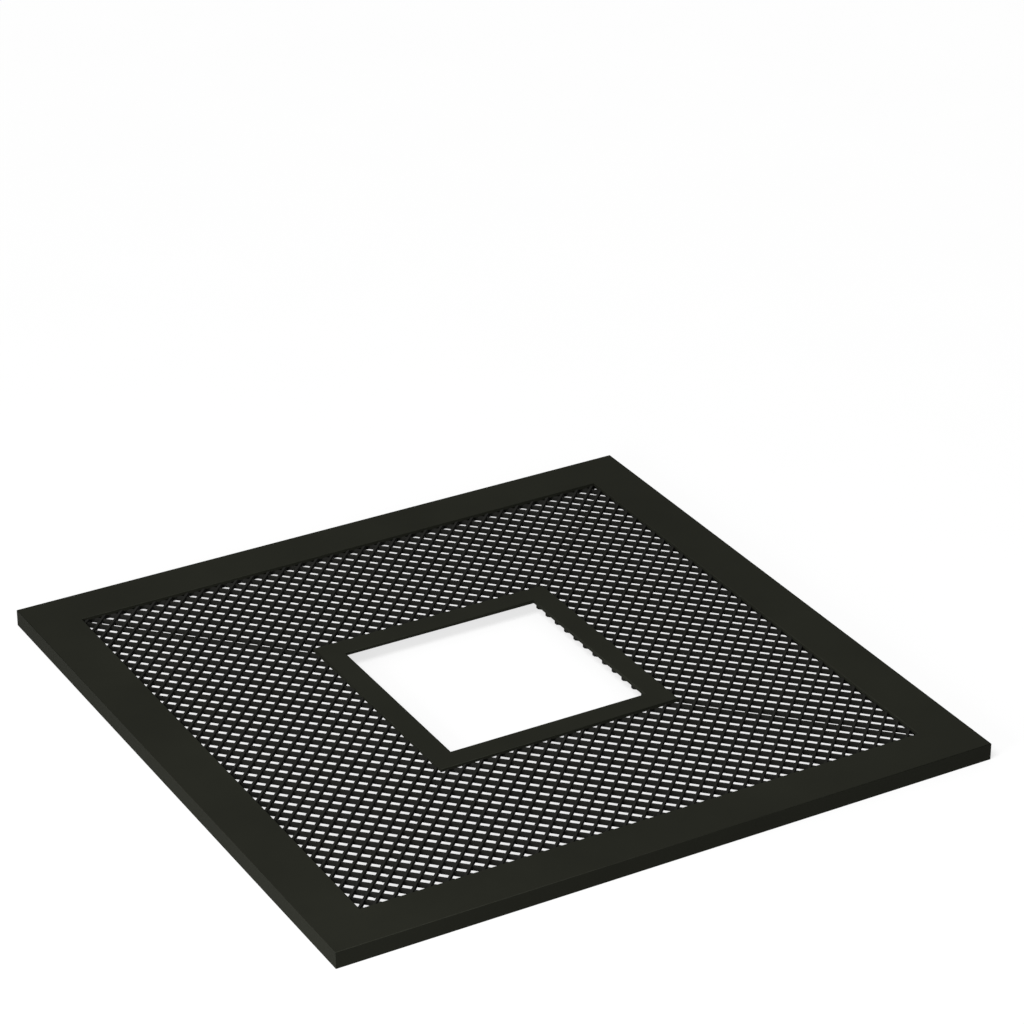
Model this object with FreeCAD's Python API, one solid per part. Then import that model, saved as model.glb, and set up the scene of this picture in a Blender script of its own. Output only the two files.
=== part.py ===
import FreeCAD, Part
import math
import os

# Steel tree grate: a flat square frame filled with a diagonal bar mesh around a square tree hole.
# Millimetres, +Z up. The origin is the centre of the frame's underside, X and Y run along the sides.

# Outer frame
grate_side = 1200.0
grate_height = 30.0
flat_thickness = 6.0
top_flat_width = 85.0
edge_break = 0.8

# Bar mesh, in four panels that butt on the diagonals
mesh_pitch = 22.4
seam_pitch = 19.4
bar_thickness = 4.0
bar_depth = 8.0
cross_rise = 2.5
rise_clearance = 0.5
mesh_lap = 45.0
mesh_hole = 395.0

# Ring around the tree hole
tree_hole = 370.0
ring_flat_width = 40.0

# The ring lies off the frame's centre along X, and the seams along X and Y
ring_shift = 10.0
seam_shift_x = 11.0
seam_shift_y = 2.4

# Ledge angles under the outer edge of the mesh
ledge_width = 40.0
ledge_thickness = 4.0
ledge_setback = 9.0

# Weld studs, washers and nuts that hold the ledges up
studs_per_side = 4
stud_spacing = 290.0
stud_diameter = 8.0
stud_tail = 1.6
round_clearance = 0.3
washer_diameter = 16.0
washer_thickness = 1.6
nut_across_flats = 13.0
nut_height = 6.8

# Levels
flat_underside = grate_height - flat_thickness
mesh_underside = flat_underside - bar_depth
cross_underside = mesh_underside + cross_rise
cross_top = flat_underside + cross_rise
notch_level = (cross_underside + flat_underside) / 2
ledge_underside = mesh_underside - ledge_thickness
washer_underside = ledge_underside - washer_thickness
nut_underside = washer_underside - nut_height
stud_end = nut_underside - stud_tail

# Distances from the centre of the frame
frame_half = grate_side / 2
opening_half = frame_half - top_flat_width
mesh_half = opening_half + mesh_lap
ring_half = tree_hole / 2
ring_outer = ring_half + ring_flat_width
ledge_inner = opening_half + ledge_setback
ledge_outer = ledge_inner + ledge_width
stud_line = (ledge_inner + ledge_outer - ledge_thickness) / 2

# Turn of each side about Z, from the north side
SIDES = {"north": 0.0, "west": 90.0, "south": 180.0, "east": 270.0}
UP = FreeCAD.Vector(0, 0, 1)
CENTRE = FreeCAD.Vector(0, 0, 0)
RING_CENTRE = FreeCAD.Vector(ring_shift, 0, 0)
SEAM_CENTRE = FreeCAD.Vector(seam_shift_x, seam_shift_y, 0)
DIAGONAL = math.sqrt(0.5)


def turned(x, y, angle):
    """A plan vector turned about Z by an angle in degrees."""
    return FreeCAD.Rotation(UP, angle).multVec(FreeCAD.Vector(x, y, 0))


def extruded(points, length):
    """The solid that a closed flat outline sweeps along a vector."""
    return Part.Face(Part.makePolygon(points + points[:1])).extrude(length)


def prism(outline, low, high):
    """The upright prism on a plan outline, between two levels."""
    points = [FreeCAD.Vector(x, y, low) for x, y in outline]
    return extruded(points, UP * (high - low))


def mitred_bar(section, angle):
    """One side of a square frame: a section in (distance from centre, level), mitred at both ends."""
    reach = max(distance for distance, level in section) + 1
    points = [FreeCAD.Vector(-reach, distance, level) for distance, level in section]
    bar = extruded(points, FreeCAD.Vector(2 * reach, 0, 0))
    wedge = prism([(0, 0), (reach, reach), (-reach, reach)], -1, grate_height + 1)
    bar = bar.common(wedge).Solids[0]
    bar.rotate(CENTRE, UP, angle)
    return bar


def flat_section(inner, outer):
    """A flat bar's section at the top of the grate, its two upper edges broken."""
    return [
        (inner, flat_underside),
        (outer, flat_underside),
        (outer, grate_height - edge_break),
        (outer - edge_break, grate_height),
        (inner + edge_break, grate_height),
        (inner, grate_height - edge_break),
    ]


def panel_limits(angle, inner=mesh_hole / 2, outer=mesh_half):
    """The straight edges of a mesh panel as (outward normal, distance from the origin)."""
    limits = [(turned(0, 1, turn), outer) for turn in SIDES.values()]
    limits.append((turned(0, -1, angle), -inner))
    for seam_angle in (angle + 45, angle - 45):
        seam = turned(0, -1, seam_angle)
        limits.append((seam, seam.dot(SEAM_CENTRE)))
    return limits


def clipped(outline, normal, limit):
    """The part of a convex outline that lies within a limit along a normal."""
    kept = []
    for start, end in zip(outline, outline[1:] + outline[:1]):
        before = limit - start.dot(normal)
        after = limit - end.dot(normal)
        if before >= 0:
            kept.append(start)
        if before * after < 0:
            kept.append(start + (end - start) * (before / (before - after)))
    return kept


def panel_prism(limits, low, high):
    """The upright space within a panel's straight edges, between two levels."""
    outline = [turned(2 * mesh_half, 2 * mesh_half, turn) for turn in SIDES.values()]
    for normal, limit in limits:
        outline = clipped(outline, normal, limit)
    return prism([(corner.x, corner.y) for corner in outline], low, high)


def panel_space(angle):
    """The space of one mesh panel: below the flats, and in the open between frame and ring above that."""
    ring_edge = ring_outer + turned(0, 1, angle).dot(RING_CENTRE)
    open_limits = panel_limits(angle, ring_edge + rise_clearance, opening_half - rise_clearance)
    below = panel_prism(panel_limits(angle), mesh_underside - 1, flat_underside)
    above = panel_prism(open_limits, flat_underside, cross_top + 1)
    return below.fuse(above).removeSplitter()


def reach_in_panel(start, along, angle):
    """How far a line runs inside a panel, back and forward from its start; nothing if it misses."""
    low = -2 * grate_side
    high = 2 * grate_side
    for normal, limit in panel_limits(angle):
        slope = normal.dot(along)
        room = limit - normal.dot(start)
        if slope > 0.01:
            high = min(high, room / slope)
        elif slope < -0.01:
            low = max(low, room / slope)
        elif room < bar_thickness:
            high = low
    return low, high


def bar_lines():
    """Distances of the mesh bars from the seam, on both sides of it."""
    count = int(2 * mesh_half / mesh_pitch) + 2
    steps = [seam_pitch / 2 + mesh_pitch * step for step in range(count)]
    return [-step for step in reversed(steps)] + steps


def notched_profile(low, high, crossings, plain_level, notched_level):
    """A bar's side view in (along, level): one plain edge, and one with a notch at each crossing."""
    half = bar_thickness / 2
    points = [(low, plain_level), (high, plain_level), (high, notched_level)]
    for crossing in reversed(crossings):
        points.append((crossing + half, notched_level))
        points.append((crossing + half, notch_level))
        points.append((crossing - half, notch_level))
        points.append((crossing - half, notched_level))
    points.append((low, notched_level))
    return points


def panel_bars(angle, across, along, plain_level, notched_level):
    """The bars of one mesh panel that run one way, each notched where a bar of the other way crosses."""
    space = panel_space(angle)
    lines = bar_lines()
    bars = []
    for line in lines:
        middle = SEAM_CENTRE + across * line
        low, high = reach_in_panel(middle, along, angle)
        near = [other for other in lines if low - bar_thickness < other < high + bar_thickness]
        whole = [other for other in near if low + bar_thickness < other < high - bar_thickness]
        if not whole:
            continue
        profile = notched_profile(low - mesh_pitch, high + mesh_pitch, near, plain_level, notched_level)
        base = middle - across * (bar_thickness / 2)
        points = [base + along * reach + UP * level for reach, level in profile]
        bars.extend(extruded(points, across * bar_thickness).common(space).Solids)
    return Part.makeCompound(bars)


def stud_centres(angle):
    """Plan positions of the studs along one side, each in the middle of a mesh cell."""
    outward = turned(0, 1, angle)
    sideways = turned(1, 0, angle)
    half_step = mesh_pitch * DIAGONAL
    first_row = seam_pitch * DIAGONAL
    row = round((stud_line - outward.dot(SEAM_CENTRE) - first_row) / half_step)
    line = SEAM_CENTRE + outward * (first_row + row * half_step)
    centres = []
    for index in range(studs_per_side):
        wanted = (index - (studs_per_side - 1) / 2) * stud_spacing - sideways.dot(SEAM_CENTRE)
        step = row - 1 + 2 * round((wanted / half_step - row + 1) / 2)
        centres.append(line + sideways * (step * half_step))
    return centres


def upright_cylinder(centre, diameter, low, high):
    """A cylinder about a vertical line through a plan position."""
    base = FreeCAD.Vector(centre.x, centre.y, low)
    return Part.makeCylinder(diameter / 2, high - low, base, UP)


def bored(solid, centre, low, high):
    """A solid with a stud's clearance hole through it, between two levels."""
    hole = upright_cylinder(centre, stud_diameter + 2 * round_clearance, low, high)
    return solid.cut(hole).Solids[0]


def hexagon(centre):
    """Plan outline of a hexagon nut."""
    radius = nut_across_flats / math.sqrt(3)
    turns = [math.radians(60 * corner) for corner in range(6)]
    return [(centre.x + radius * math.cos(turn), centre.y + radius * math.sin(turn)) for turn in turns]


def export(name, shape):
    """Write one named piece, or one group of like pieces."""
    shape.exportStep("parts/" + name + ".step")


os.makedirs("parts", exist_ok=True)

bearing_way = FreeCAD.Vector(DIAGONAL, -DIAGONAL, 0)
cross_way = FreeCAD.Vector(DIAGONAL, DIAGONAL, 0)
top_section = flat_section(opening_half, frame_half)
ring_section = flat_section(ring_half, ring_outer)
rim_section = [
    (frame_half - flat_thickness, 0),
    (frame_half, 0),
    (frame_half, flat_underside),
    (frame_half - flat_thickness, flat_underside),
]
ledge_section = [
    (ledge_inner, ledge_underside),
    (ledge_outer - ledge_thickness, ledge_underside),
    (ledge_outer - ledge_thickness, 0),
    (ledge_outer, 0),
    (ledge_outer, mesh_underside),
    (ledge_inner, mesh_underside),
]
studs = []
washers = []
nuts = []

for side, angle in SIDES.items():
    export("top_flat_" + side, mitred_bar(top_section, angle))
    export("rim_flat_" + side, mitred_bar(rim_section, angle))

    ring_flat = mitred_bar(ring_section, angle)
    ring_flat.translate(RING_CENTRE)
    export("ring_flat_" + side, ring_flat)

    # Bearing bars are notched from above and cross bars from below, which leaves the cross bars higher
    bearing_bars = panel_bars(angle, cross_way, bearing_way, mesh_underside, flat_underside)
    export("mesh_" + side + "_bearing_bars", bearing_bars)
    cross_bars = panel_bars(angle, bearing_way, cross_way, cross_top, cross_underside)
    export("mesh_" + side + "_cross_bars", cross_bars)

    ledge = mitred_bar(ledge_section, angle)
    for centre in stud_centres(angle):
        ledge = bored(ledge, centre, ledge_underside, mesh_underside)
        studs.append(upright_cylinder(centre, stud_diameter, stud_end, flat_underside))
        washer = upright_cylinder(centre, washer_diameter, washer_underside, ledge_underside)
        washers.append(bored(washer, centre, washer_underside, ledge_underside))
        nut = prism(hexagon(centre), nut_underside, washer_underside)
        nuts.append(bored(nut, centre, nut_underside, washer_underside))
    export("ledge_angle_" + side, ledge)

export("weld_studs", Part.makeCompound(studs))
export("washers", Part.makeCompound(washers))
export("nuts", Part.makeCompound(nuts))
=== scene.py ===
"""Looks of a steel tree grate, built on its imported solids.

Coated flats and bar mesh, weld beads, threaded fixings, floor, light and camera. All sizes are in
metres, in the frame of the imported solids: +Z up, the origin at the centre of the underside.
"""

import logging
import math
from dataclasses import dataclass
from enum import Enum
from typing import Any

import bmesh
import bpy
import numpy as np
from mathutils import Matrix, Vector

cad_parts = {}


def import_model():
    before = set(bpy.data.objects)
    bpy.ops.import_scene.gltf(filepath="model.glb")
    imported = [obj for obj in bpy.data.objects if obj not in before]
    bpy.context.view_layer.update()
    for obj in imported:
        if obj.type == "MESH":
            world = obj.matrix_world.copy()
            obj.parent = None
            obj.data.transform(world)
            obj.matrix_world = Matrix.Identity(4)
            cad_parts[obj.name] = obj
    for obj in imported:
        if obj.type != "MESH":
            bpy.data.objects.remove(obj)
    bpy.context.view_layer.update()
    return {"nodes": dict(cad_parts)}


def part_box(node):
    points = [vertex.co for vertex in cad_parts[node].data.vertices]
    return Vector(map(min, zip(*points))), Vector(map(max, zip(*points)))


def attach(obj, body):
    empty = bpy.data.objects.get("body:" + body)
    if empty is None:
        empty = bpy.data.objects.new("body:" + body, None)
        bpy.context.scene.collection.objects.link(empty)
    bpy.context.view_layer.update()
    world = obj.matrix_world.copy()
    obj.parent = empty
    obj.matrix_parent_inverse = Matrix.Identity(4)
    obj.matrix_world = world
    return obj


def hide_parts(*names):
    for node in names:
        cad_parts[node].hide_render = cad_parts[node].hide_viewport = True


LOG = logging.getLogger("tree_grate")
BODY = "root"
# Name of the point attribute that holds the weight of the painted edge highlight.
EDGE_HIGHLIGHT = "edge_wear"
HALF_TURN = math.pi
QUARTER_TURN = math.pi / 2
DIAGONAL = math.sqrt(0.5)
UP = np.array([0.0, 0.0, 1.0])
NOISE_ROUGHNESS = 0.55
NOISE_LOW = 0.3
NOISE_HIGH = 0.7

Material = bpy.types.Material
Socket = bpy.types.NodeSocket
Screen = tuple[float, float, float]
Faces = list[list[int]]


class Side(Enum):
    """A side of the grate, with its turn about Z from the north side in degrees."""

    NORTH = 0.0
    WEST = 90.0
    SOUTH = 180.0
    EAST = 270.0

    @property
    def word(self) -> str:
        """The side's name as the solids write it."""
        return self.name.lower()

    @property
    def outward(self) -> np.ndarray:
        """Unit plan vector from the centre to this side."""
        turn = math.radians(self.value)
        return np.array([-math.sin(turn), math.cos(turn), 0.0])

    @property
    def sideways(self) -> np.ndarray:
        """Unit plan vector along this side."""
        turn = math.radians(self.value)
        return np.array([math.cos(turn), math.sin(turn), 0.0])


class Slot(Enum):
    """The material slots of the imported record."""

    STEEL = "coated_steel"
    MESH = "coated_mesh"
    FIXINGS = "plated_fixings"


def linear(screen: Screen) -> list[float]:
    """Turn a screen colour into linear light by the sRGB rule.

    Args:
        screen: Red, green and blue from 0 to 255.

    Returns:
        Red, green, blue and full alpha, from 0 to 1.
    """
    level = np.array(screen) / 255.0
    light = np.where(level <= 0.04045, level / 12.92, ((level + 0.055) / 1.055) ** 2.4)
    return [*light.tolist(), 1.0]


class NodeSheet:
    """A material's node tree with short calls that add and join its nodes."""

    def __init__(self, name: str) -> None:
        """Start a material that holds one principled shader and Object coordinates."""
        self.material = bpy.data.materials.new(name)
        self.material.use_nodes = True
        self.tree = self.material.node_tree
        self.shader = self.tree.nodes["Principled BSDF"]
        self.place = self.tree.nodes.new("ShaderNodeTexCoord").outputs["Object"]

    def add(self, kind: str, inputs: dict[Any, Any], **settings: Any) -> bpy.types.Node:
        """Add a node.

        Args:
            kind: Blender's name of the node type.
            inputs: Input name or number to a value or to another node's output.
            **settings: Properties of the node itself.

        Returns:
            The new node.
        """
        node = self.tree.nodes.new(kind)
        for name, value in settings.items():
            setattr(node, name, value)
        for name, value in inputs.items():
            if isinstance(value, Socket):
                self.tree.links.new(value, node.inputs[name])
            else:
                node.inputs[name].default_value = value
        return node

    def noise(self, scale: float, detail: float = 2.0) -> Socket:
        """Noise on Object coordinates, with this many cells to the metre."""
        inputs = {
            "Vector": self.place,
            "Scale": scale,
            "Detail": detail,
            "Roughness": NOISE_ROUGHNESS,
        }
        return self.add("ShaderNodeTexNoise", inputs).outputs["Fac"]

    def math(self, operation: str, *values: Any) -> Socket:
        """One arithmetic step on numbers or outputs."""
        return self.add("ShaderNodeMath", dict(enumerate(values)), operation=operation).outputs[0]

    def spread(self, value: Socket, low: float, high: float) -> Socket:
        """Stretch the middle range of a noise to run from low to high."""
        inputs = {
            "Value": value,
            "From Min": NOISE_LOW,
            "From Max": NOISE_HIGH,
            "To Min": low,
            "To Max": high,
        }
        return self.add("ShaderNodeMapRange", inputs).outputs["Result"]

    def blend(self, factor: Socket, first: Any, second: Any) -> Socket:
        """A colour between two colours or outputs."""
        node = self.add("ShaderNodeMix", {0: factor, 6: first, 7: second}, data_type="RGBA")
        return node.outputs[2]

    def bump(self, height: Socket, distance: float, under: Any = None) -> Socket:
        """A bumped normal, laid over another one where that is given."""
        inputs = {"Height": height, "Distance": distance, "Strength": 1.0}
        if under is not None:
            inputs["Normal"] = under
        return self.add("ShaderNodeBump", inputs).outputs["Normal"]

    def finish(self, linked: dict[str, Socket], fixed: dict[str, float]) -> Material:
        """Join outputs to the shader and set its fixed values.

        Args:
            linked: Shader input to the output that feeds it.
            fixed: Shader input to its one value all over the surface.

        Returns:
            The finished material.
        """
        for name, socket in linked.items():
            self.tree.links.new(socket, self.shader.inputs[name])
        for name, value in fixed.items():
            self.shader.inputs[name].default_value = value
        return self.material


@dataclass(frozen=True)
class CoatFinish:
    """A satin powder coat: tone drifts, grain, orange-peel skin and a painted edge highlight."""

    name: str
    dark: Screen
    light: Screen
    # Lighter tone painted on the rounded edges as a highlight.
    highlight_tone: Screen
    roughness: tuple[float, float] = (0.6, 0.74)
    gloss: float = 0.03
    drift_scale: float = 5.0
    drift_detail: float = 4.0
    drift_share: float = 0.65
    grain_scale: float = 1900.0
    grain_share: float = 0.35
    grain_height: float = 0.00002
    peel_scale: float = 480.0
    peel_height: float = 0.00005
    # Size of the painted edge highlight's patches, and its greatest share.
    highlight_patch_scale: float = 90.0
    highlight_most: float = 0.8

    def build(self) -> Material:
        """Make the material.

        Returns:
            The coat, with its tone, roughness and skin worked out from noises.
        """
        sheet = NodeSheet(self.name)
        drift = sheet.noise(self.drift_scale, self.drift_detail)
        grain = sheet.noise(self.grain_scale)
        peel = sheet.noise(self.peel_scale)
        slow_tone = sheet.math("MULTIPLY", drift, self.drift_share)
        tone = sheet.math("MULTIPLY_ADD", grain, self.grain_share, slow_tone)
        coat = sheet.blend(sheet.spread(tone, 0.0, 1.0), linear(self.dark), linear(self.light))
        # Painted highlight: the rounded edges are lightened in noisy patches, standing in for the
        # light they catch.
        edge = sheet.add("ShaderNodeAttribute", {}, attribute_name=EDGE_HIGHLIGHT).outputs["Fac"]
        highlight_patches = sheet.spread(sheet.noise(self.highlight_patch_scale), 0.0, self.highlight_most)
        highlight_amount = sheet.math("MULTIPLY", edge, highlight_patches)
        skin = sheet.bump(grain, self.grain_height, sheet.bump(peel, self.peel_height))
        linked = {
            "Base Color": sheet.blend(highlight_amount, coat, linear(self.highlight_tone)),
            "Roughness": sheet.spread(tone, *self.roughness),
            "Normal": skin,
        }
        return sheet.finish(linked, {"Specular IOR Level": self.gloss})


@dataclass(frozen=True)
class ZincFinish:
    """A dull zinc plate: small crystals of two greys over bare metal, with an uneven shine."""

    name: str
    dark: Screen
    light: Screen
    roughness: tuple[float, float] = (0.32, 0.5)
    crystal_scale: float = 700.0
    crystal_share: float = 0.4
    stain_scale: float = 120.0
    stain_detail: float = 4.0
    stain_share: float = 0.6
    skin_height: float = 0.00002

    def build(self) -> Material:
        """Make the material.

        Returns:
            The plate, with its crystals and shine worked out from cells and noise.
        """
        sheet = NodeSheet(self.name)
        inputs = {"Vector": sheet.place, "Scale": self.crystal_scale}
        cells = sheet.add("ShaderNodeTexVoronoi", inputs).outputs["Color"]
        crystal = sheet.add("ShaderNodeSeparateColor", {"Color": cells}).outputs["Red"]
        stain = sheet.noise(self.stain_scale, self.stain_detail)
        slow_tone = sheet.math("MULTIPLY", stain, self.stain_share)
        tone = sheet.math("MULTIPLY_ADD", crystal, self.crystal_share, slow_tone)
        grey = sheet.spread(tone, 0.0, 1.0)
        linked = {
            "Base Color": sheet.blend(grey, linear(self.dark), linear(self.light)),
            "Roughness": sheet.spread(stain, *self.roughness),
            "Normal": sheet.bump(stain, self.skin_height),
        }
        return sheet.finish(linked, {"Metallic": 1.0})


@dataclass(frozen=True)
class Finishes:
    """The three finishes of the grate, made once."""

    coat: Material
    mesh_coat: Material
    zinc: Material


def make_finishes() -> Finishes:
    """Build every finish.

    Returns:
        The finishes as materials.
    """
    coat = CoatFinish(
        "olive_black_coat",
        dark=(35, 36, 30),
        light=(42, 43, 36),
        # Lighter tone painted on the rounded edges as a highlight.
        highlight_tone=(50, 51, 45),
    )
    mesh_coat = CoatFinish(
        "olive_black_mesh_coat",
        dark=(37, 37, 34),
        light=(44, 44, 42),
        # Lighter tone painted on the rounded edges as a highlight.
        highlight_tone=(51, 52, 46),
        roughness=(0.75, 0.85),
        gloss=0.02,
        drift_scale=14.0,
    )
    zinc = ZincFinish("dull_zinc_plate", dark=(128, 129, 127), light=(178, 179, 174))
    return Finishes(coat.build(), mesh_coat.build(), zinc.build())


def grid_faces(rows: int, columns: int, wrap_rows: bool) -> np.ndarray:
    """Quads of a grid of points whose columns close into a ring.

    Args:
        rows: Points across the grid.
        columns: Points round the ring.
        wrap_rows: Whether the last row also joins the first.

    Returns:
        Four point numbers for each quad, row by row.
    """
    row = np.arange(rows if wrap_rows else rows - 1)[:, None]
    column = np.arange(columns)[None, :]
    next_row = (row + 1) % rows
    next_column = (column + 1) % columns
    corners = (
        row * columns + column,
        row * columns + next_column,
        next_row * columns + next_column,
        next_row * columns + column,
    )
    return np.stack(corners, axis=-1).reshape(-1, 4)


def cap_faces(rows: int, columns: int) -> np.ndarray:
    """The first and the last row of a grid, each as one face that closes its end."""
    ring = np.arange(columns)
    return np.stack([ring, (rows - 1) * columns + ring])


def copied(faces: np.ndarray, points: int, copies: int) -> Faces:
    """Repeat the faces of one grid for several like grids that follow each other."""
    shift = points * np.arange(copies)[:, None, None]
    return (faces[None] + shift).reshape(-1, faces.shape[1]).tolist()


@dataclass
class Piece:
    """One new piece of the grate: its points and faces, and how it is shaded."""

    name: str
    points: np.ndarray
    faces: Faces
    smooth: np.ndarray | None = None
    # Weight of the painted edge highlight at each point.
    wear: np.ndarray | None = None
    crease: float | None = None

    def make(self, finish: Material, slot: Slot, *nodes: str) -> None:
        """Turn the arrays into an object that rides on the grate.

        Args:
            finish: Material of the piece.
            slot: The record's slot that the finish belongs to; not used.
            *nodes: Solids that the piece stands for.
        """
        mesh = bpy.data.meshes.new(self.name)
        mesh.from_pydata(self.points.reshape(-1, 3).tolist(), [], self.faces)
        if self.smooth is not None:
            mesh.polygons.foreach_set("use_smooth", self.smooth)
        # Store where the coat paints its edge highlight.
        if self.wear is not None:
            layer = mesh.attributes.new(EDGE_HIGHLIGHT, "FLOAT", "POINT")
            layer.data.foreach_set("value", self.wear.astype(np.float32).ravel())
        shell = bmesh.new()
        shell.from_mesh(mesh)
        bmesh.ops.recalc_face_normals(shell, faces=shell.faces)
        shell.to_mesh(mesh)
        shell.free()
        if self.crease is not None:
            mesh.shade_smooth()
            mesh.set_sharp_from_angle(angle=self.crease)
        mesh.materials.append(finish)
        piece = bpy.data.objects.new(self.name, mesh)
        bpy.context.scene.collection.objects.link(piece)
        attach(piece, BODY)
        if nodes:
            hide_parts(*nodes)
        LOG.info("%s: %d faces", self.name, len(mesh.polygons))


def dress(node: bpy.types.Object, finish: Material) -> None:
    """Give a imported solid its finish.

    Args:
        node: The solid's object, whose shape stays as it is.
        finish: Its material.
    """
    node.data.materials.clear()
    node.data.materials.append(finish)
    LOG.info("%s: %s", node.name, finish.name)


@dataclass
class FlatFrame:
    """Four flats mitred into a square, with softly rounded upper edges."""

    node_stem: str
    piece_stem: str
    edge_radius: float = 0.0008
    arc_steps: int = 5

    def section(
        self, inner: float, outer: float, low: float, high: float
    ) -> tuple[np.ndarray, np.ndarray]:
        """A flat's section with its two upper edges rounded.

        Each upper edge is a quarter circle: its centre, plus the radius times the cosine and sine
        of a turn that runs from 0 to 90 degrees at the outer edge and from 90 to 180 at the inner
        one. The painted edge highlight's weight is the sine of twice the turn, so it is 1 in the
        middle of each round and 0 at its ends.

        Args:
            inner: Distance of the inner side from the frame's centre.
            outer: Distance of the outer side.
            low: Level of the underside.
            high: Level of the top.

        Returns:
            The section's points as (distance, level), and the painted highlight's weight at each.
        """
        turn = np.linspace(0.0, QUARTER_TURN, self.arc_steps + 1)
        radius = self.edge_radius
        level = high - radius
        cosine = radius * np.cos(turn)
        sine = radius * np.sin(turn)
        outer_round = np.stack([outer - radius + cosine, level + sine], -1)
        inner_round = np.stack([inner + radius - sine, level + cosine], -1)
        points = np.concatenate([[(inner, low), (outer, low)], outer_round, inner_round])
        # Weight of the painted edge highlight: none on the lower corners, most mid-round.
        highlight_amount = np.sin(2 * turn)
        return points, np.concatenate([[0.0, 0.0], highlight_amount, highlight_amount])

    def build_side(self, side: Side, finish: Material) -> None:
        """Make one flat: its section carried along the side, to plus and minus its own distance.

        Args:
            side: Which side of the frame.
            finish: The flat's material.
        """
        node = f"{self.node_stem}_{side.word}"
        lowest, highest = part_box(node)
        middle = np.array((lowest + highest) / 2)
        half_span = abs(side.sideways @ np.array(highest - lowest)) / 2
        half_width = abs(side.outward @ np.array(highest - lowest)) / 2
        section, wear = self.section(half_span - 2 * half_width, half_span, lowest.z, highest.z)
        centre = middle - side.outward * (half_span - half_width)
        stations = np.array([-1.0, 1.0])[:, None, None]
        distance = section[None, :, :1]
        plan = side.sideways * stations * distance + side.outward * distance
        points = plan + np.array([centre[0], centre[1], 0.0])
        points[..., 2] = section[:, 1]
        rows = len(stations)
        count = len(section)
        quads = grid_faces(rows, count, wrap_rows=False)
        caps = cap_faces(rows, count)
        # The two lower corners come first, and only the quads on the two rounds are smooth
        first = np.arange(count)
        rounded = (first >= 2) & (first != 2 + self.arc_steps) & (first != count - 1)
        smooth = np.concatenate([rounded, [False, False]])
        piece = Piece(
            f"{self.piece_stem}_{side.word}",
            points,
            quads.tolist() + caps.tolist(),
            smooth=smooth,
            wear=np.tile(wear, rows),
        )
        piece.make(finish, Slot.STEEL, node)

    def build(self, finish: Material) -> None:
        """Make all four flats."""
        for side in Side:
            self.build_side(side, finish)


@dataclass(frozen=True)
class Lattice:
    """The bar mesh as lines: two sets of bars on the diagonals, mirrored about two seams."""

    seam_centre: tuple[float, float, float] = (0.011, 0.0024, 0.0)
    pitch: float = 0.0224
    seam_pitch: float = 0.0194
    bar_thickness: float = 0.004
    count: int = 40

    @property
    def bearing_way(self) -> np.ndarray:
        """Unit plan vector along the bearing bars."""
        return np.array([DIAGONAL, -DIAGONAL, 0.0])

    @property
    def cross_way(self) -> np.ndarray:
        """Unit plan vector along the cross bars."""
        return np.array([DIAGONAL, DIAGONAL, 0.0])

    @property
    def offsets(self) -> np.ndarray:
        """Distances of the bars from a seam, on both sides of it."""
        steps = self.seam_pitch / 2 + self.pitch * np.arange(self.count)
        return np.concatenate([-steps[::-1], steps])

    def crossings(self, side: Side, line: float, limit: float) -> np.ndarray:
        """Where the bearing bars pass under a line along one side.

        Args:
            side: Which side of the grate.
            line: The line's distance from the centre.
            limit: How far to each side of the middle the crossings may lie.

        Returns:
            Plan points, one for each bar.
        """
        feet = np.array(self.seam_centre) + self.offsets[:, None] * self.cross_way
        reach = (line - feet @ side.outward) / (self.bearing_way @ side.outward)
        points = feet + reach[:, None] * self.bearing_way
        return points[np.abs(points @ side.sideways) < limit]

    def butts(self, inner: float, outer: float) -> list[tuple[np.ndarray, np.ndarray]]:
        """Where bars of two panels meet end to end on the seams.

        Args:
            inner: Half the side of the square that holds no mesh.
            outer: Half the side of the whole mesh.

        Returns:
            For each seam, the plan points on it and the way of the bars that meet there, first
            for the cross bars and then for the bearing bars.
        """
        found = []
        for seam, bars in ((self.bearing_way, self.cross_way), (self.cross_way, self.bearing_way)):
            points = np.array(self.seam_centre) + self.offsets[:, None] * seam
            reach = np.abs(points).max(axis=1)
            found.append((points[(reach > inner) & (reach < outer)], bars))
        return found


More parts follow.
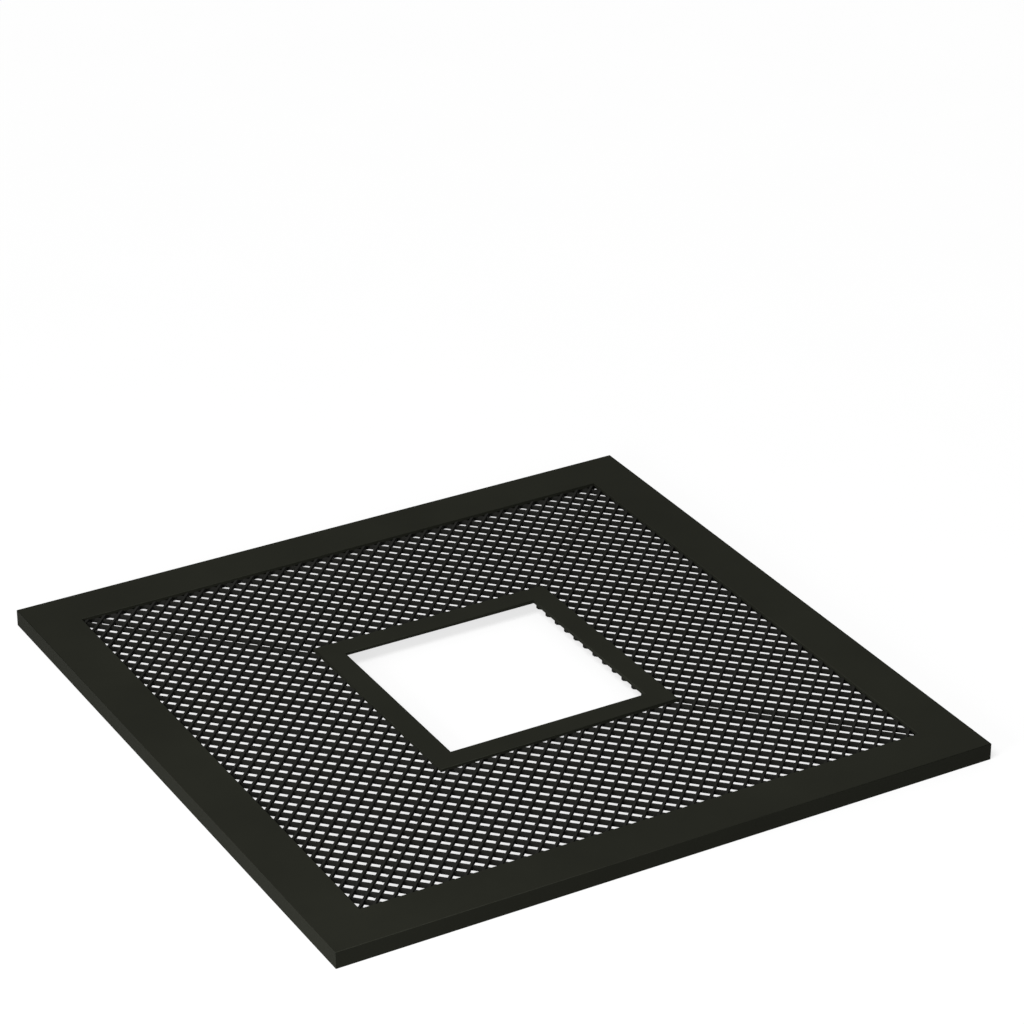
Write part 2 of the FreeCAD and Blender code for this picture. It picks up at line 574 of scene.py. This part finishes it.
@dataclass
class FilletBeads:
    """Short fillet welds that fill the corner between a flat's underside and an upright face."""

    name: str
    leg: float
    length: float
    ripple: float = 0.0028
    swell: float = 0.12
    fewest_ripples: int = 2
    rows_per_ripple: int = 4
    end_share: float = 0.98
    end_power: int = 6
    profile_steps: int = 5
    crease: float = math.radians(50)

    def surface(self, corners: np.ndarray, along: np.ndarray, across: np.ndarray) -> Piece:
        """Carry a bead's section along each corner.

        The section is the corner point and an arc from one leg to the other: leg times the cosine
        and the sine of a turn. The leg swells and sinks along the bead as the size of a sine, which
        gives the ripples, and falls away at both ends as the root of one less a high power of the
        place.

        Args:
            corners: Middle of each bead, on the line where the two faces meet.
            along: Unit vector along each bead.
            across: Unit vector of each bead away from the upright face.

        Returns:
            All the beads as one piece.
        """
        ripples = max(self.fewest_ripples, round(self.length / self.ripple))
        place = np.linspace(-1.0, 1.0, self.rows_per_ripple * ripples + 1)
        fall = np.sqrt(1.0 - self.end_share * place**self.end_power)
        wave = np.abs(np.sin(HALF_TURN * ripples * (place + 1.0) / 2))
        size = self.leg * fall * (1.0 - self.swell + self.swell * wave)
        turn = np.linspace(0.0, QUARTER_TURN, self.profile_steps)
        out = np.concatenate([[0.0], np.cos(turn)])
        down = np.concatenate([[0.0], np.sin(turn)])
        run = along[:, None, None, :] * (place[:, None, None] * self.length / 2)
        wide = across[:, None, None, :] * (size[:, None, None] * out[:, None])
        deep = -UP * (size[:, None, None] * down[:, None])
        points = corners[:, None, None, :] + run + wide + deep
        rows = len(place)
        columns = len(out)
        quads = grid_faces(rows, columns, wrap_rows=False)
        caps = cap_faces(rows, columns)
        total = rows * columns
        faces = copied(quads, total, len(corners)) + copied(caps, total, len(corners))
        return Piece(self.name, points, faces, crease=self.crease)


@dataclass(frozen=True)
class TackRow:
    """Tack welds between some bearing bars and the four flats that lie on them.

    The tacks are at the line's distance from the middle of the flats' square and within the limit
    to each side. Skip says at every how many bars there is one.
    """

    name: str
    node_stem: str
    line: float
    limit: float
    skip: int


@dataclass
class Welds:
    """The welds that hold the grate together, all on its underside."""

    lattice: Lattice
    rim_beads: int = 6
    rim_reach: float = 0.5
    rim_leg: float = 0.0045
    rim_length: float = 0.055
    tack_rows: tuple[TackRow, ...] = (
        TackRow("edge_tack_welds", "top_flat", line=0.524, limit=0.50, skip=3),
        TackRow("ring_tack_welds", "ring_flat", line=0.213, limit=0.19, skip=2),
    )
    tack_leg: float = 0.0026
    tack_length: float = 0.009
    mesh_edge: float = 0.56
    mesh_hole: float = 0.1975
    lump_edge_gap: float = 0.004
    lump_hole_gap: float = 0.03
    lump_axes: tuple[float, float, float] = (0.0036, 0.0025, 0.0013)
    lump_latitude: float = 0.46 * HALF_TURN
    lump_turns: int = 10
    lump_rows: int = 6
    lump_crease: float = math.radians(60)

    def rim(self, finish: Material) -> None:
        """Weld each rim flat to the top flat above it with a row of fillet beads."""
        corners, along, across = [], [], []
        for side in Side:
            lowest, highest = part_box(f"rim_flat_{side.word}")
            face = min(abs(side.outward @ np.array(corner)) for corner in (lowest, highest))
            for place in np.linspace(-self.rim_reach, self.rim_reach, self.rim_beads):
                corners.append(side.outward * face + side.sideways * place + UP * highest.z)
                along.append(side.sideways)
                across.append(-side.outward)
        beads = FilletBeads("rim_weld_beads", leg=self.rim_leg, length=self.rim_length)
        beads.surface(np.array(corners), np.array(along), np.array(across)).make(finish, Slot.STEEL)

    def tacks(self, row: TackRow, finish: Material) -> None:
        """Tack some bearing bars to the flats that lie on them.

        Args:
            row: Which flats, and where the tacks are.
            finish: Material of the welds.
        """
        lattice = self.lattice
        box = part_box(f"{row.node_stem}_north")
        middle = sum(box, Vector()) / 2
        shift = np.array([middle.x, 0.0, 0.0])
        corners = []
        for side in Side:
            line = row.line + side.outward @ shift
            points = lattice.crossings(side, line, row.limit)[:: row.skip]
            corners.append(points + UP * box[0].z)
        places = np.concatenate(corners) + lattice.cross_way * lattice.bar_thickness / 2
        along = np.tile(lattice.bearing_way, (len(places), 1))
        across = np.tile(lattice.cross_way, (len(places), 1))
        beads = FilletBeads(row.name, leg=self.tack_leg, length=self.tack_length)
        beads.surface(places, along, across).make(finish, Slot.STEEL)

    def lumps(self, finish: Material) -> None:
        """Join the bars that meet end to end on the seams with small lumps of weld below.

        Each lump is an ellipsoid: its axes times the cosine of a latitude round the bar's way and
        across, and the sine of it upwards.
        """
        undersides = [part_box(f"mesh_north_{bars}_bars")[0].z for bars in ("cross", "bearing")]
        latitude = np.linspace(-self.lump_latitude, self.lump_latitude, self.lump_rows)[:, None]
        longitude = np.linspace(0.0, 2 * HALF_TURN, self.lump_turns, endpoint=False)[None, :]
        long_axis, wide_axis, high_axis = self.lump_axes
        shells = []
        inner = self.mesh_hole + self.lump_hole_gap
        outer = self.mesh_edge - self.lump_edge_gap
        seams = self.lattice.butts(inner, outer)
        for (places, way), level in zip(seams, undersides):
            across = np.array([-way[1], way[0], 0.0])
            shape = (
                (long_axis * np.cos(latitude) * np.cos(longitude))[..., None] * way
                + (wide_axis * np.cos(latitude) * np.sin(longitude))[..., None] * across
                + (high_axis * np.sin(latitude) * np.ones_like(longitude))[..., None] * UP
            )
            shells.append(places[:, None, None, :] + shape + UP * level)
        points = np.concatenate(shells)
        total = self.lump_rows * self.lump_turns
        quads = grid_faces(self.lump_rows, self.lump_turns, wrap_rows=False)
        caps = cap_faces(self.lump_rows, self.lump_turns)
        faces = copied(quads, total, len(points)) + copied(caps, total, len(points))
        Piece("seam_weld_lumps", points, faces, crease=self.lump_crease).make(finish, Slot.MESH)

    def build(self, finishes: Finishes) -> None:
        """Make every weld."""
        self.rim(finishes.coat)
        for row in self.tack_rows:
            self.tacks(row, finishes.coat)
        self.lumps(finishes.mesh_coat)


def solid_centres(node: bpy.types.Object, spacing: float = 0.02) -> np.ndarray:
    """Find the middle of each small solid in a group.

    Args:
        node: The group's object.
        spacing: A distance within which points belong to the same solid.

    Returns:
        Plan middles of the solids, with a level of 0.
    """
    points = np.empty(len(node.data.vertices) * 3, np.float32)
    node.data.vertices.foreach_get("co", points)
    left = points.reshape(-1, 3).astype(float)
    middles = []
    while len(left):
        near = np.linalg.norm(left[:, :2] - left[0, :2], axis=1) < spacing
        own = left[near]
        middle = (own.min(axis=0) + own.max(axis=0)) / 2
        middles.append([middle[0], middle[1], 0.0])
        left = left[~near]
    return np.array(middles)


@dataclass
class Fixings:
    """Threaded weld studs with their washers and nuts, which hold the ledges up."""

    stud_radius: float = 0.004
    thread_pitch: float = 0.00125
    thread_depth: float = 0.0006
    thread_length: float = 0.011
    rows_per_pitch: int = 6
    bore_radius: float = 0.0041
    nut_flats: float = 0.013
    nut_face_share: float = 0.47
    nut_fall_share: float = 0.5
    washer_radius: float = 0.008
    edge: float = 0.0004
    turns: int = 36
    crease: float = math.radians(35)

    def turned(self, rows: np.ndarray, middles: np.ndarray) -> np.ndarray:
        """Turn profiles about upright lines.

        A point is its radius times the cosine and the sine of the turn, at its level.

        Args:
            rows: Radius and level by row and by turn.
            middles: Plan places of the lines.

        Returns:
            Points by line, row and turn.
        """
        turn = np.linspace(0.0, 2 * HALF_TURN, self.turns, endpoint=False)
        radius, level = rows[..., 0], rows[..., 1]
        shape = np.stack([radius * np.cos(turn), radius * np.sin(turn), level], axis=-1)
        return middles[:, None, None, :] + shape[None]

    def ringed(self, name: str, rows: np.ndarray, middles: np.ndarray, closed: bool) -> Piece:
        """Make one piece of like turned shapes, closed as a ring or capped at both ends."""
        points = self.turned(rows, middles)
        count = len(rows)
        total = count * self.turns
        faces = copied(grid_faces(count, self.turns, wrap_rows=closed), total, len(middles))
        if not closed:
            faces += copied(cap_faces(count, self.turns), total, len(middles))
        return Piece(name, points, faces, crease=self.crease)

    def stud_rows(self, low: float, high: float) -> np.ndarray:
        """Radius and level of a stud.

        On the thread the radius is the stud's, less the thread's depth times a triangle wave of the
        level over the pitch less the turn, and a 45 degree chamfer caps it at the tip. Above is the
        plain shank.

        Args:
            low: Level of the tip.
            high: Level of the welded end.

        Returns:
            Radius and level by row and by turn.
        """
        turn = np.arange(self.turns) / self.turns
        step = self.thread_pitch / self.rows_per_pitch
        level = np.arange(low, low + self.thread_length, step)[:, None]
        wave = np.abs(2 * ((level / self.thread_pitch - turn) % 1.0) - 1.0)
        radius = self.stud_radius - self.thread_depth * wave
        tip = self.stud_radius - 2 * self.thread_depth + (level - low)
        thread = np.stack([np.minimum(radius, tip), level + np.zeros_like(radius)], axis=-1)
        ends = np.array([thread[-1, 0, 1] + self.edge, high])[:, None] + np.zeros(self.turns)
        shank = np.stack([np.full_like(ends, self.stud_radius), ends], axis=-1)
        return np.concatenate([thread, shank])

    def nut_rows(self, low: float, high: float) -> np.ndarray:
        """Radius and level of a hexagon nut.

        The outer radius is half the flats over the cosine of the turn from the nearest flat's
        middle. Its ends fall away by a share of what that radius stands past the circle of the end
        faces.

        Args:
            low: Level of the lower face.
            high: Level of the upper face.

        Returns:
            Radius and level by row and by turn.
        """
        turn = np.linspace(0.0, 2 * HALF_TURN, self.turns, endpoint=False)
        sixth = HALF_TURN / 3
        outer = self.nut_flats / 2 / np.cos(turn % sixth - sixth / 2)
        face = np.full(self.turns, self.nut_face_share * self.nut_flats)
        fall = self.nut_fall_share * (outer - face)
        bore = np.full(self.turns, self.bore_radius)
        mouth = bore + 2 * self.edge
        lower, upper = np.full(self.turns, low), np.full(self.turns, high)
        radius = np.stack([bore, mouth, face, outer, outer, face, mouth, bore])
        inset = 2 * self.edge
        level = np.stack(
            [lower + inset, lower, lower, lower + fall, upper - fall, upper, upper, upper - inset]
        )
        return np.stack([radius, level], axis=-1)

    def washer_rows(self, low: float, high: float) -> np.ndarray:
        """Radius and level of a washer with softened edges, the same at every turn."""
        inner, outer, edge = self.bore_radius, self.washer_radius, self.edge
        outwards = [inner, inner + edge, outer - edge, outer]
        radius = outwards + outwards[::-1]
        level = [low + edge, low, low, low + edge, high - edge, high, high, high - edge]
        rows = np.stack([radius, level], axis=-1)[:, None, :]
        return np.repeat(rows, self.turns, axis=1)

    def build(self, nodes: dict[str, bpy.types.Object], finish: Material) -> None:
        """Make the studs, washers and nuts where their solids are.

        Args:
            nodes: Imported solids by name.
            finish: Material of the fixings.
        """
        middles = solid_centres(nodes["weld_studs"])
        shapes = {"weld_studs": self.stud_rows, "washers": self.washer_rows, "nuts": self.nut_rows}
        for node, rows in shapes.items():
            lowest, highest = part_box(node)
            shape = rows(lowest.z, highest.z)
            piece = self.ringed(f"detailed_{node}", shape, middles, node != "weld_studs")
            piece.make(finish, Slot.FIXINGS, node)


@dataclass(frozen=True)
class Lamp:
    """A square soft lamp that looks at a point."""

    name: str
    place: tuple[float, float, float]
    aim: tuple[float, float, float]
    side: float
    power: float

    def build(self) -> None:
        """Hang the lamp."""
        data = bpy.data.lights.new(self.name, "AREA")
        data.shape = "SQUARE"
        data.size = self.side
        data.energy = self.power
        lamp = bpy.data.objects.new(self.name, data)
        lamp.location = self.place
        way = Vector(self.aim) - Vector(self.place)
        lamp.rotation_euler = way.to_track_quat("-Z", "Y").to_euler()
        bpy.context.scene.collection.objects.link(lamp)


@dataclass(frozen=True)
class BroadLamp:
    """A lamp so far and broad that it lights the whole floor evenly and softly."""

    name: str
    way: tuple[float, float, float]
    strength: float
    spread: float

    def build(self) -> None:
        """Hang the lamp."""
        data = bpy.data.lights.new(self.name, "SUN")
        data.energy = self.strength
        data.angle = self.spread
        lamp = bpy.data.objects.new(self.name, data)
        lamp.rotation_euler = Vector(self.way).to_track_quat("-Z", "Y").to_euler()
        bpy.context.scene.collection.objects.link(lamp)


@dataclass
class Studio:
    """A plain white floor, soft light and the camera."""

    floor_reach: float = 60.0
    floor_level: float = -0.0002
    floor_tones: tuple[Screen, Screen] = ((152, 152, 152), (155, 155, 155))
    floor_scale: float = 3.0
    floor_roughness: float = 0.9
    floor_glow: float = 0.74
    world_grey: float = 0.25
    camera_place: tuple[float, float, float] = (-2.641, -4.691, 3.1595)
    camera_way: tuple[float, float, float] = (0.44015, 0.76863, -0.46420)
    lens: float = 130.26
    sensor: float = 36.0
    lamps: tuple[Lamp | BroadLamp, ...] = (
        BroadLamp(
            "overhead_lamp",
            way=(0.47, 0.19, -0.72),
            strength=2.0,
            spread=math.radians(30),
        ),
        Lamp(
            "left_lamp",
            place=(-2.3, -1.3, 0.8),
            aim=(-0.4, -0.2, 0.0),
            side=1.0,
            power=28.5,
        ),
    )

    def floor_material(self) -> Material:
        """A pale floor: its lit part keeps the shadow, and a glow lifts it to white where seen.

        Returns:
            The floor's material, which can be seen through from below.
        """
        sheet = NodeSheet("pale_floor")
        tone = sheet.blend(sheet.noise(self.floor_scale), *map(linear, self.floor_tones))
        fixed = {"Roughness": self.floor_roughness, "Specular IOR Level": 0.0}
        sheet.finish({"Base Color": tone}, fixed)
        path = sheet.add("ShaderNodeLightPath", {})
        seen = sheet.math("MAXIMUM", path.outputs["Is Camera Ray"], path.outputs["Is Glossy Ray"])
        seen = sheet.math("MAXIMUM", seen, path.outputs["Is Transmission Ray"])
        strength = sheet.math("MULTIPLY", seen, self.floor_glow)
        white = (1.0, 1.0, 1.0, 1.0)
        glow = sheet.add("ShaderNodeEmission", {"Color": white, "Strength": strength})
        lit = sheet.add("ShaderNodeAddShader", {0: sheet.shader.outputs[0], 1: glow.outputs[0]})
        clear = sheet.add("ShaderNodeBsdfTransparent", {})
        back = sheet.add("ShaderNodeNewGeometry", {}).outputs["Backfacing"]
        below = sheet.math("MULTIPLY", back, path.outputs["Is Camera Ray"])
        sides = {0: below, 1: lit.outputs[0], 2: clear.outputs[0]}
        one_sided = sheet.add("ShaderNodeMixShader", sides).outputs[0]
        surface = sheet.tree.nodes["Material Output"].inputs["Surface"]
        sheet.tree.links.new(one_sided, surface)
        return sheet.material

    def floor(self) -> None:
        """Lay the floor just under the grate."""
        square = np.array([[-1.0, -1.0], [1.0, -1.0], [1.0, 1.0], [-1.0, 1.0]])
        levels = np.full(len(square), self.floor_level)
        points = np.column_stack([square * self.floor_reach, levels])
        mesh = bpy.data.meshes.new("floor")
        mesh.from_pydata(points.tolist(), [], [[0, 1, 2, 3]])
        mesh.materials.append(self.floor_material())
        floor = bpy.data.objects.new("floor", mesh)
        bpy.context.scene.collection.objects.link(floor)

    def world(self) -> None:
        """Surround the scene with an even grey."""
        world = bpy.data.worlds.new("even_grey")
        world.use_nodes = True
        background = world.node_tree.nodes["Background"]
        background.inputs["Color"].default_value = (self.world_grey,) * 3 + (1.0,)
        background.inputs["Strength"].default_value = 1.0
        bpy.context.scene.world = world

    def camera(self) -> None:
        """Set up the camera where the photograph was taken from."""
        data = bpy.data.cameras.new("camera")
        data.lens = self.lens
        data.sensor_width = self.sensor
        camera = bpy.data.objects.new("camera", data)
        camera.location = self.camera_place
        camera.rotation_euler = Vector(self.camera_way).to_track_quat("-Z", "Y").to_euler()
        bpy.context.scene.collection.objects.link(camera)
        bpy.context.scene.camera = camera

    def build(self) -> None:
        """Set up floor, world, lamps and camera."""
        self.floor()
        self.world()
        for lamp in self.lamps:
            lamp.build()
        self.camera()
        bpy.context.scene.view_settings.view_transform = "Standard"


def main() -> None:
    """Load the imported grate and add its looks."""
    logging.basicConfig(level=logging.INFO, format="%(name)s: %(message)s")
    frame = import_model()
    nodes = frame["nodes"]
    finishes = make_finishes()
    for name, node in nodes.items():
        dress(node, finishes.mesh_coat if name.startswith("mesh_") else finishes.coat)
    FlatFrame("top_flat", "rounded_top_flat").build(finishes.coat)
    FlatFrame("ring_flat", "rounded_ring_flat").build(finishes.coat)
    Welds(Lattice()).build(finishes)
    Fixings().build(nodes, finishes.zinc)
    Studio().build()


if __name__ == "__main__":
    main()
